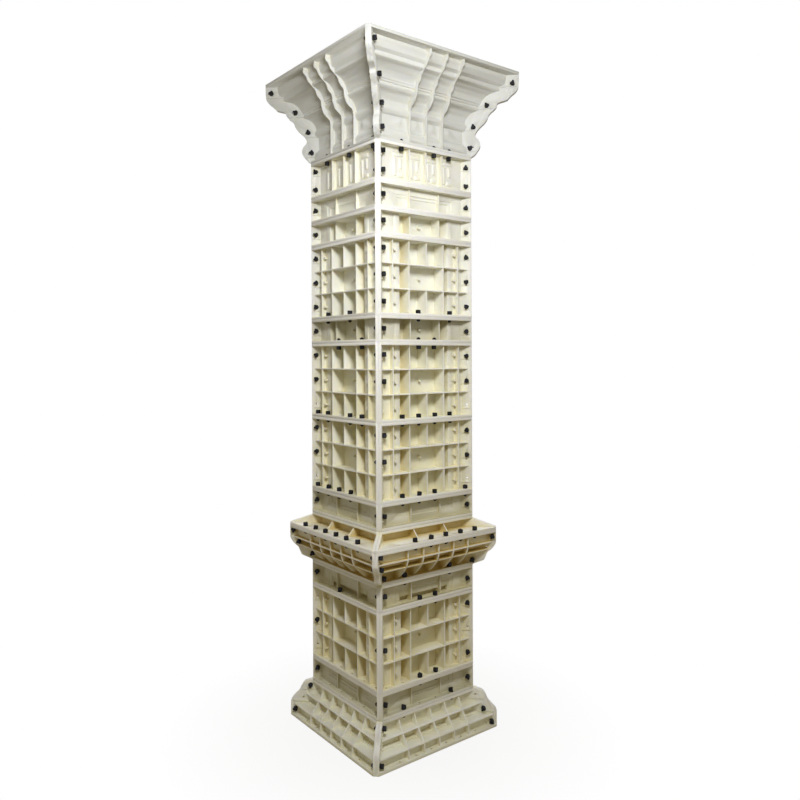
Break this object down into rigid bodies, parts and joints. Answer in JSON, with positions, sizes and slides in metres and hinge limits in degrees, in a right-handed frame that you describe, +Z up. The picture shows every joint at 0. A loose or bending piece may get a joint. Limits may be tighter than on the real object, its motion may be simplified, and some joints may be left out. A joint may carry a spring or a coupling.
{
  "type": "column mould",
  "caption": "Tall square concrete-column formwork of bolted, ribbed plastic panels, with a flared capital, a moulded cornice and a stepped base, open from end to end.",
  "frame": {"origin": "middle of the footprint at floor level", "axes": "+Z up along the column, -Y out of the front panels, +X out of the right panels"},
  "size_m": [0.76, 0.76, 2.64],
  "materials": {
    "ivory_plastic": "satin",
    "black_plastic": "matte"
  },
  "bodies": {
    "root": {"base_front": "ivory_plastic", "base_right": "ivory_plastic", "base_back": "ivory_plastic", "base_left": "ivory_plastic", "pedestal_foot_band_front": "ivory_plastic", "pedestal_foot_band_right": "ivory_plastic", "pedestal_foot_band_back": "ivory_plastic", "pedestal_foot_band_left": "ivory_plastic", "pedestal_panel_front": "ivory_plastic", "pedestal_panel_right": "ivory_plastic", "pedestal_panel_back": "ivory_plastic", "pedestal_panel_left": "ivory_plastic", "pedestal_head_band_front": "ivory_plastic", "pedestal_head_band_right": "ivory_plastic", "pedestal_head_band_back": "ivory_plastic", "pedestal_head_band_left": "ivory_plastic", "cornice_front": "ivory_plastic", "cornice_right": "ivory_plastic", "cornice_back": "ivory_plastic", "cornice_left": "ivory_plastic", "shaft_foot_band_front": "ivory_plastic", "shaft_foot_band_right": "ivory_plastic", "shaft_foot_band_back": "ivory_plastic", "shaft_foot_band_left": "ivory_plastic", "shaft_panel_1_front": "ivory_plastic", "shaft_panel_1_right": "ivory_plastic", "shaft_panel_1_back": "ivory_plastic", "shaft_panel_1_left": "ivory_plastic", "shaft_panel_2_front": "ivory_plastic", "shaft_panel_2_right": "ivory_plastic", "shaft_panel_2_back": "ivory_plastic", "shaft_panel_2_left": "ivory_plastic", "shaft_middle_band_front": "ivory_plastic", "shaft_middle_band_right": "ivory_plastic", "shaft_middle_band_back": "ivory_plastic", "shaft_middle_band_left": "ivory_plastic", "shaft_panel_3_front": "ivory_plastic", "shaft_panel_3_right": "ivory_plastic", "shaft_panel_3_back": "ivory_plastic", "shaft_panel_3_left": "ivory_plastic", "shaft_head_band_front": "ivory_plastic", "shaft_head_band_right": "ivory_plastic", "shaft_head_band_back": "ivory_plastic", "shaft_head_band_left": "ivory_plastic", "neck_band_front": "ivory_plastic", "neck_band_right": "ivory_plastic", "neck_band_back": "ivory_plastic", "neck_band_left": "ivory_plastic", "frieze_front": "ivory_plastic", "frieze_right": "ivory_plastic", "frieze_back": "ivory_plastic", "frieze_left": "ivory_plastic", "capital_front": "ivory_plastic", "capital_right": "ivory_plastic", "capital_back": "ivory_plastic", "capital_left": "ivory_plastic", "cornice_covers": "ivory_plastic", "corner_bolts": "black_plastic", "joint_bolts": "black_plastic"}
  },
  "joints": []
}
